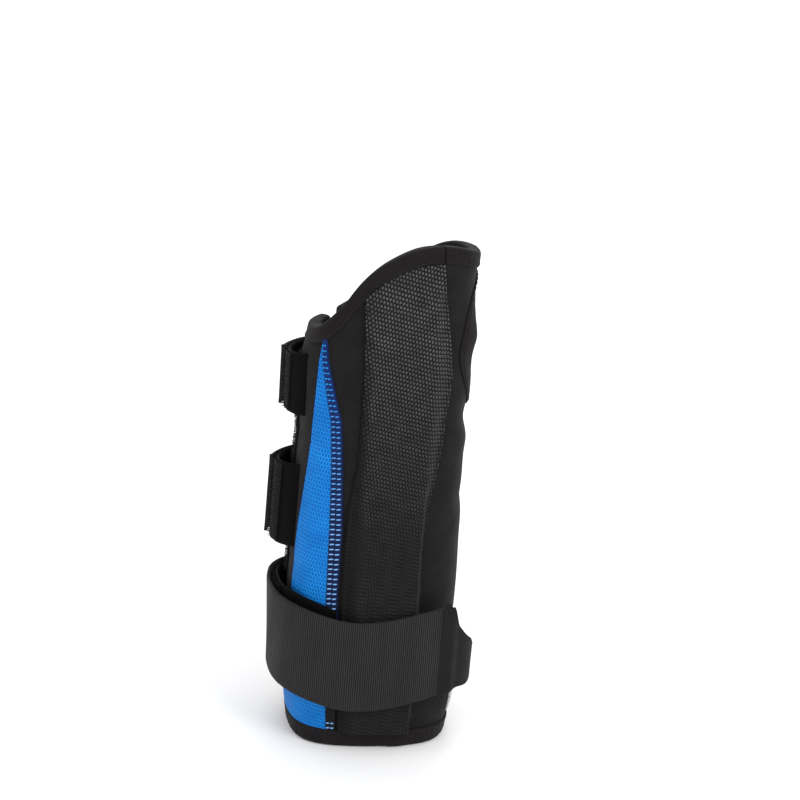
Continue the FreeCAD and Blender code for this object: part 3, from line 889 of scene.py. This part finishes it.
def hook_field(name, place, width, height, spacing, tall, seed):
    """Rows of tiny bent nylon hooks. place(s, t) gives a point and its outward direction."""
    dice = random.Random(seed)
    vertices, faces, uvs = [], [], []
    columns, rows = max(2, int(width / spacing)), max(2, int(height / spacing))
    for i in range(columns):
        for j in range(rows):
            s = (i + 0.5 + dice.uniform(-0.3, 0.3)) / columns
            t = (j + 0.5 + (0.45 if i % 2 else 0.0) + dice.uniform(-0.25, 0.25)) / (rows + 0.5)
            foot, out = place(s, min(0.99, t))
            lean = Vector((dice.uniform(-1, 1), dice.uniform(-1, 1), dice.uniform(-1, 1)))
            lean = (lean - out * lean.dot(out)).normalized()
            side = out.cross(lean)
            reach = tall * dice.uniform(0.75, 1.2)
            faces += rod_faces(len(vertices), len(HOOK_SPINE), HOOK_SIDES)
            for sideways, up, thick in HOOK_SPINE:
                middle = foot + lean * sideways * reach * 0.7 + out * up * reach
                for k in range(HOOK_SIDES):
                    a = 2 * math.pi * k / HOOK_SIDES
                    vertices.append(middle + (side * math.cos(a) + lean * math.sin(a)) * thick)
                    uvs.append((s * width, t * height))
    obj = new_object(name, vertices, faces, uvs, HOOKS)
    face_outwards(obj)
    return obj


def side_hook_place(s, t):
    return footing(lambda off: over_rows(HOOK_ROWS, off)(s, t), HOOK_THICK)


on_palm(patch("side_hook_tape", HOOK_ROWS, HOOK_THICK, HOOK_TAPE, 5, 50), "hook", "ulnar_hook_strip")
on_palm(hook_field("side_hooks", side_hook_place, 10, 107, 1.15, 1.1, 3), "hook")

# ---- pockets over the stays ----
POCKET_ROWS = [(TRIM_LOW, -18, 22), (14, -18.4, 22), (14.4, -18.4, 24.5), (75, -19, 24), (99, -19, 23),
               (120, -18, 25), (137, -15, 30), (160, -14, 34), (180, -14, 37), (201, -15, 31), (232, -18, 26),
               (245, -18.5, 24)]
BACKING = 0.75  # the height of the palm pocket's backing
BACKING_TOP = 212.0
POCKET_THICK = 0.75
PALM_MARGIN, BACK_MARGIN = 0.95, 0.1  # heights of the pockets' inner faces at their sewn edges
POCKET_STITCH = 0.8  # the pocket stitches' height above the inner face
EDGE_CROWDING = 0.8  # crowds the palm pocket's columns towards its long edges
SEWN_SHARE = 0.014  # the share of a pocket's width that lies flat at each long edge
PALM_STAY_X = 4.0
BACK_REACH = 10.3  # how far from a back stay's middle its pocket is sewn down
PALM_STAY = {"foot": Vector((PALM_STAY_X, PALM_Y, 0)), "along": Vector((0, 0, 1)), "out": Vector((0, -1, 0)),
             "half": 13.3, "rise": 4.1, "high": 210.0}


def palm_reach(z, thumb_side):
    """How far from the stay's middle the pocket is sewn down, towards the thumb or away from it."""
    edge = section(angle_across(POCKET_ROWS, z, 1 if thumb_side else 0), 0, z).x
    return abs(edge - PALM_STAY_X) - 0.5


def pocket_point(deg, z, stay, margin, skin, share=0.5):
    """A point on cloth that lies on the cuff at its margins and stands over a stay between them.

    share is how far across the pocket the point is: both long edges are sewn down to the cuff."""
    low = cuff(deg, margin, z)
    across = stay["out"].cross(stay["along"])
    from_foot = low - stay["foot"]
    aside = from_foot.dot(across)
    up = from_foot.dot(stay["along"])
    sewn = palm_reach(z, aside < 0) if stay is PALM_STAY else BACK_REACH
    reach = max(stay["half"] + 1.4, sewn)
    aside = abs(aside)
    over = (1 - smooth(stay["half"], reach, aside)) * (1 - smooth(stay["high"], stay["high"] + 14, up))
    over *= smooth(0, SEWN_SHARE, share) * smooth(0, SEWN_SHARE, 1 - share)
    slack = 0.12 * math.sin(up / 6.1) * math.sin(aside / 2.3) + 0.08 * math.sin(up / 2.7 + aside)
    lift = stay["rise"] - from_foot.dot(stay["out"])
    return low + stay["out"] * (lift * over + (slack + 0.15) * over + skin)


def palm_pocket():
    def face(margin, skin):
        def place(s, t):
            s -= EDGE_CROWDING * math.sin(2 * math.pi * s) / (2 * math.pi)
            deg = angle_across(POCKET_ROWS, t * 232, s)
            z = TRIM_LOW + (top_of(deg) - TAPE_WIDTH + 0.9 - TRIM_LOW) * t
            deg = angle_across(POCKET_ROWS, z, s)
            tuck = smooth(7, 1.5, top_of(deg) - TAPE_WIDTH - z + 1.5)
            closed = max(0.75 * tuck, 0.8 * smooth(BACKING_TOP - 0.5, BACKING_TOP + 3, z))
            return pocket_point(deg, z, PALM_STAY, margin - closed, skin * (1 - 0.3 * tuck), s)
        return place
    return slab("palm_pocket_cover", 38, 120, face(PALM_MARGIN, POCKET_THICK), face(PALM_MARGIN, 0.0), POCKET,
                chart=lambda place: (place.x, place.z))


cover = on_palm(palm_pocket(), "pocket", "palmar_pocket_cover")
backing_rows = [row for row in POCKET_ROWS if row[0] < 190] + [(BACKING_TOP, -15, 29)]
backing = patch("palm_pocket_backing", backing_rows, BACKING, LAMINATE, 10, 60)
on_palm(backing, "shell_fabric", "palmar_pocket_backing")


def pocket_hem():
    """Stitches just inside both long edges of the palm pocket."""
    items = []
    for side in (0.035, 0.965):
        spots = []
        for k in range(110):
            z = TRIM_LOW + 1 + k * 2.0
            deg = angle_across(POCKET_ROWS, z, side)
            if z > top_of(deg) - TAPE_WIDTH - 1:
                break
            spots.append((pocket_point(deg, z, PALM_STAY, PALM_MARGIN, POCKET_STITCH), PALM_STAY["out"]))
        items += stitch_line(spots, 1.7, 0.9, 0.4)
    return items


on_palm(beads("palm_pocket_stitches", pocket_hem(), THREAD), "pocket")

DORSAL_STAYS = {"radial": 160.0, "centre": 187.0}
DORSAL_HIGH = 194.0
DORSAL_SPAN = 31.0  # degrees round the cuff that a back pocket takes


def dorsal_frame(deg):
    """Where a back stay lies: its foot, its direction, its outward side and its size."""
    foot = section(deg, 0, 0)
    rising = (section(deg, 0, 240) - foot).normalized()
    beside = section(deg - 4, 0, 120) - section(deg + 4, 0, 120)
    out = rising.cross(beside).normalized()
    out = out if out.y > 0 else -out
    return {"foot": foot, "along": rising, "out": out, "half": 6.9, "rise": 3.65, "high": 191.5}


for side, middle in DORSAL_STAYS.items():
    stay = dorsal_frame(middle)

    def on_pocket(turn, z, skin, stay=stay, middle=middle):
        return pocket_point(middle + turn, z, stay, BACK_MARGIN, skin)

    def outer(s, t, on_pocket=on_pocket, skin=POCKET_THICK):
        return on_pocket((s - 0.5) * DORSAL_SPAN, TRIM_LOW + (DORSAL_HIGH - TRIM_LOW) * t, skin)

    def inner(s, t, outer=outer, on_pocket=on_pocket):
        return outer(s, t, on_pocket, 0.0)
    sleeve = slab(f"back_pocket_{side}", 18, 90, outer, inner, LAMINATE)
    on_flap(sleeve, "shell_fabric", f"dorsal_{side}_pocket")
    rows = []
    for turn in (-14.2, 14.2):
        spots = [(on_pocket(turn, z, POCKET_STITCH), stay["out"]) for z in range(10, 193, 3)]
        rows += stitch_line(spots, 2.0, 0.9)
    spots = [(on_pocket(28 * k / 12 - 14, DORSAL_HIGH - 2, POCKET_STITCH), stay["out"]) for k in range(13)]
    rows += stitch_line(spots, 1.8, 0.8)
    on_flap(beads(f"back_pocket_{side}_stitches", rows, THREAD), "shell_fabric")

# ---- straps and loops ----
class Line:
    """A strap's path: a smooth curve through (section angle, offset) controls, ruled over height."""

    def __init__(self, controls, low, high, samples=120):
        self.low, self.high = low, high
        self.lows = spline([section(deg, off, low) for deg, off in controls], samples)
        self.highs = spline([section(deg, off, high) for deg, off in controls], samples)

    def at(self, t, z, off):
        share = (z - self.low) / (self.high - self.low)
        point = along(self.lows, t).lerp(along(self.highs, t), share)
        a, b = max(0.0, t - 0.01), min(1.0, t + 0.01)
        run = along(self.lows, b) - along(self.lows, a)
        return point + Vector((run.y, -run.x, 0)).normalized() * off

    def length(self):
        return sum((b - a).length for a, b in zip(self.lows, self.lows[1:]))


def strap(name, line, low, high, inner, outer, material, start=0.0, end=1.0, sag=0.0, rows=10, step=2.2):
    """Webbing along a line. low, high, inner and outer are functions of the fraction along it."""
    columns = max(10, round(line.length() * (end - start) / step))

    def face(off, push):
        def place(s, t):
            f = start + (end - start) * s
            bottom, top = low(f), high(f)
            z = bottom + (top - bottom) * t
            edge = smooth(0, 0.1, t) * smooth(0, 0.1, 1 - t)
            wave = sag * (0.6 * math.sin(9 * f + 2.2 * t) + 0.4 * math.sin(23 * f - 4 * t))
            wave *= smooth(0, 0.1, f)
            selvedge = 0.12 * push * (1 - edge)
            return line.at(f, z, off(f) + wave + selvedge)
        return place
    return slab(name, columns, rows, face(outer, 1), face(inner, 0), material)


def flat(value):
    return lambda f: value


STITCH_INSET = 2.5  # strap stitches lie this far in from the webbing's edges


def strap_stitches(name, line, low, high, off, first, last):
    """A crossed rectangle of stitches through a strap, between two fractions along it."""
    low, high = low + STITCH_INSET, high - STITCH_INSET
    corners = [(first, low), (last, low), (last, high), (first, high), (first, low)]
    items = []
    for (fa, za), (fb, zb) in list(zip(corners, corners[1:])) + [(corners[0], corners[2])]:
        spots = []
        for k in range(17):
            f, z = fa + (fb - fa) * k / 16, za + (zb - za) * k / 16
            spots.append(footing(lambda reach: line.at(f, z, reach), off))
        items += stitch_line(spots, 1.9, 0.8)
    return beads(name, items, THREAD)


WEB, HOOK_PATCH = 1.6, 0.9
HOOK_TAPE_IN, HOOKS_IN = 1.2, 1.6  # the loops' hook tape and its hooks stay this far inside the edges
# The forearm loop's upper edge falls by 12 mm where it runs in under the strap.
LOOPS = {
    "hand": {"z": (157.0, 186.0), "hook": (0.22, 0.78), "fall": 0.0, "seed": 11,
             "path": [(240, -0.5), (246, 0.9), (254, 2.9), (263, 4.2), (272, 4.7), (280, 4.2), (287, 2.0),
                      (291, -0.5)]},
    "wrist": {"z": (93.0, 133.5), "hook": (0.22, 0.78), "fall": 0.0, "seed": 12,
              "path": [(240, -0.5), (246, 1.5), (254, 4.6), (263, 6.6), (271, 7.0), (278, 5.6), (284, 2.2),
                       (288, -0.5)]},
    "forearm": {"z": (30.0, 76.0), "hook": (0.15, 0.52), "fall": 12.0, "seed": 13,
                "path": [(240, -0.5), (246, 1.2), (254, 2.9), (263, 3.8), (272, 4.0), (284, 3.8), (298, 3.2),
                         (312, 2.4), (323, 1.8), (331, 1.5), (338.5, 1.4)]},
}
for place_name, loop in LOOPS.items():
    low, high = loop["z"]
    line = Line(loop["path"], low, high)
    first, last = loop["hook"]

    def upper(f, high=high, fall=loop["fall"]):
        return high - fall * smooth(0.6, 1.35, f)
    web = strap(f"{place_name}_loop", line, flat(low), upper, flat(0.0), flat(WEB), LOOP_WEBBING, sag=0.15)
    on_palm(web, "loop_webbing", f"{place_name}_tab_loop")
    line.length() * MM
    base = strap(f"{place_name}_hook_tape", line, flat(low + HOOK_TAPE_IN), flat(high - HOOK_TAPE_IN),
                 flat(WEB + 0.16), flat(WEB + HOOK_PATCH), HOOK_TAPE, first, last)
    on_palm(base, "hook", f"{place_name}_tab_hook")

    hooked = high - low - 2 * HOOKS_IN

    def hook_place(s, t, line=line, low=low + HOOKS_IN, hooked=hooked, first=first, last=last):
        f, z = first + (last - first) * s, low + hooked * t
        return footing(lambda off: line.at(f, z, off), WEB + HOOK_PATCH)
    span = line.length() * (last - first)
    on_palm(hook_field(f"{place_name}_hooks", hook_place, span, hooked, 1.2, 1.0, loop["seed"]), "hook")

STRAP_BLEND = 4.5  # a length in mm along a narrow strap at its root
NARROW_STRAPS = {
    "hand": {"z": (157.5, 185.5), "end": [(228, 5.3), (240, 5.5), (250, 6.2), (257, 7.0), (262, 7.7)]},
    "wrist": {"z": (94.0, 132.5), "end": [(228, 5.5), (240, 6.6), (250, 8.2), (257, 9.5), (262, 10.3)]},
}
ROOT_PATH = [(120, 0.2), (126, 0.5), (132, 1.2), (138, 2.8), (142.5, 4.2), (148, 5.2), (170, 5.3), (195, 5.3),
             (215, 5.3)]
for place_name, narrow in NARROW_STRAPS.items():
    low, high = narrow["z"]
    middle = (low + high) / 2
    line = Line(ROOT_PATH + narrow["end"], low, high, 160)
    root = section(141.7, 4.5, middle) * MM
    run = (section(146, 4.5, middle) - section(138, 3.5, middle)).normalized() * STRAP_BLEND * MM
    web = strap(f"{place_name}_strap_web", line, flat(low), flat(high), flat(0.0), flat(WEB), WEBBING,
                sag=0.12)
    stitches = strap_stitches(f"{place_name}_strap_stitches", line, low, high, WEB + 0.1, 0.015, 0.085)
    for piece in (web, stitches):
        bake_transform(piece)
    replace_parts(web, f"{place_name}_strap", f"{place_name}_strap_anchor")
    line.length() * MM

FOREARM_WEB = 1.9
FOREARM_BACK = [(112, 0.2), (122, 0.5), (132, 1.4), (140, 3.6), (148, 5.2), (187, 5.3), (212, 5.3),
                (228, 5.6), (240, 6.3), (250, 7.0), (260, 7.5), (268, 7.7)]
FOREARM_FRONT = [(270, 7.8), (285, 8.2), (305, 8.1), (320, 7.6), (335, 7.1), (350, 7.0), (365, 7.1),
                 (380, 7.4), (390, 7.9), (396, 8.3)]
TAB_PATH = [(391.5, 7.95), (396, 8.3), (405, 9.5), (415, 10.4), (426, 9.8)]
FOREARM_WIDTH = 44.5
front_low = height_profile([(-60, 33.5), (-46, 30.6), (-33, 27.2), (-23, 24.2), (-14, 22.4), (-4, 22.2),
                            (4, 23.2), (17.5, 26.2), (28, 29), (36, 31.2), (60, 37)])
back_low = height_profile([(-60, 31.2), (-46, 30.6), (60, 26.4)])
forearm_line = Line(FOREARM_BACK + FOREARM_FRONT, 10, 88, 260)


def forearm_low(f):
    """The height of the sagging forearm strap's lower edge at a fraction along it."""
    place = forearm_line.at(f, 45, 0)
    return back_low(place.x) if place.y > 0 else front_low(place.x)


forearm_web = strap("forearm_strap_web", forearm_line, forearm_low, lambda f: forearm_low(f) + FOREARM_WIDTH,
                    flat(0.0), flat(FOREARM_WEB), WEBBING, sag=0.35, rows=14)
forearm_stitches = strap_stitches("forearm_strap_stitches", forearm_line, 28, 70, FOREARM_WEB + 0.1,
                                  0.01, 0.055)
for piece in (forearm_web, forearm_stitches):
    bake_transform(piece)
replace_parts(forearm_web, "forearm_strap_back", "forearm_strap_front")
forearm_line.length() * MM

# The tab is sewn on over the strap's end and takes the strap's line past it.
tab_line = Line(TAB_PATH, 10, 88)
TAB_SPLIT = 0.18
TAB_LOW = [(20, 26), (34.5, 30.6), (38.5, 31.8), (43.5, 31.4), (45.2, 31.8), (60, 45)]
TAB_HIGH = [(20, 71), (34.2, 74.2), (35.2, 71), (37.2, 64.2), (41, 58.6), (44.2, 54.6), (44.9, 52.6), (60, 9)]


def by_x(points):
    """A function from a fraction of the tab's line to a height, through (x, z) points."""
    def height(f):
        x = tab_line.at(f, 50, 0).x
        for a, b in zip(points, points[1:]):
            if x <= b[0]:
                return a[1] + (b[1] - a[1]) * (x - a[0]) / (b[0] - a[0])
        return points[-1][1]
    return height


tab_low, tab_high = by_x(TAB_LOW), by_x(TAB_HIGH)


def tab_inner(f):
    return (FOREARM_WEB + 0.1) * (1 - smooth(TAB_SPLIT, TAB_SPLIT + 0.2, f))


tab = strap("forearm_tab_web", tab_line, tab_low, tab_high, tab_inner,
            lambda f: tab_inner(f) + 0.3 + smooth(0, 0.25, f), TAB_CLOTH, rows=14, step=0.9)
tab_hook = strap("forearm_tab_hook_tape", tab_line, lambda f: tab_low(f) + 2.5, lambda f: tab_high(f) - 2.5,
                 flat(-0.8), flat(-0.03), HOOK_TAPE, 0.5, 0.95)


def tab_hook_place(s, t):
    f = 0.52 + 0.4 * s
    z = tab_low(f) + 3 + (tab_high(f) - tab_low(f) - 6) * t
    return footing(lambda off: tab_line.at(f, z, off), -0.8, -1.0)


tab_hooks = hook_field("forearm_tab_hooks", tab_hook_place, 9, 20, 1.2, 0.9, 21)
for piece, slot_name in ((tab, "webbing"), (tab_hook, "hook"), (tab_hooks, "hook")):
    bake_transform(piece)
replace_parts(tab, "forearm_strap_tab")
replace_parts(tab_hook, "forearm_tab_patch")

# ---- carried-over nodes ----
for name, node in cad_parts.items():
    if "stay" in name:
        node.data.materials.clear()
        node.data.materials.append(CAP_VINYL if "cap" in name else ALUMINIUM)

# ---- stage, light and camera ----
floor_look = Look("pale_floor", (0.86, 0.86, 0.865), 0.75)
floor_look.paint(floor_look.mix(floor_look.noise(0.4, 4.0, source=floor_look.place), (0.84, 0.84, 0.845),
                                (0.88, 0.88, 0.88)))
FLOOR_HALF = 90000.0
corners = [Vector((x, y, 0)) for x, y in ((-1, -1), (1, -1), (1, 1), (-1, 1))]
floor = new_object("floor", corners, [(0, 1, 2, 3)], [(0, 0), (1, 0), (1, 1), (0, 1)], floor_look.material)
floor.data.transform(Matrix.Scale(FLOOR_HALF, 4))

scene = bpy.context.scene
scene.view_settings.view_transform = "Standard"
world = bpy.data.worlds.new("studio")
world.use_nodes = True
world.node_tree.nodes["Background"].inputs["Color"].default_value = (0.985, 0.99, 1.0, 1.0)
world.node_tree.nodes["Background"].inputs["Strength"].default_value = 1.2
scene.world = world


def area_light(name, place, aim, size, power):
    data = bpy.data.lights.new(name, "AREA")
    data.shape = "DISK"
    data.size = size
    data.energy = power
    light = bpy.data.objects.new(name, data)
    scene.collection.objects.link(light)
    light.location = place
    light.rotation_euler = (Vector(aim) - Vector(place)).to_track_quat("-Z", "Y").to_euler()


area_light("key", (1.0, -1.3, 1.3), (0, 0, 0.12), 0.9, 15)
area_light("fill", (-1.3, -1.0, 1.0), (0, 0, 0.12), 1.2, 3.5)
area_light("back", (0.2, 1.4, 1.4), (0, 0, 0.15), 1.0, 6)

LENS, DISTANCE, PITCH, AZIMUTH, ROLL = 75.0, 765.5, 16.3, -8.0, -3.7
TARGET = Vector((8.66, -1.0, 160.4))
pitch, azimuth = math.radians(PITCH), math.radians(AZIMUTH)
backward = Vector((math.sin(azimuth) * math.cos(pitch), -math.cos(azimuth) * math.cos(pitch),
                   math.sin(pitch)))
level = (-backward).cross(Vector((0, 0, 1))).normalized()
upright = level.cross(-backward)
roll = math.radians(ROLL)
right = level * math.cos(roll) - upright * math.sin(roll)
up = level * math.sin(roll) + upright * math.cos(roll)
camera_data = bpy.data.cameras.new("camera")
camera_data.lens = LENS
camera_data.sensor_width = 36.0
camera = bpy.data.objects.new("camera", camera_data)
scene.collection.objects.link(camera)
place = (TARGET + backward * DISTANCE) * MM
camera.matrix_world = Matrix(((right.x, up.x, backward.x, place.x), (right.y, up.y, backward.y, place.y),
                              (right.z, up.z, backward.z, place.z), (0, 0, 0, 1)))
scene.camera = camera

bpy.context.view_layer.update()
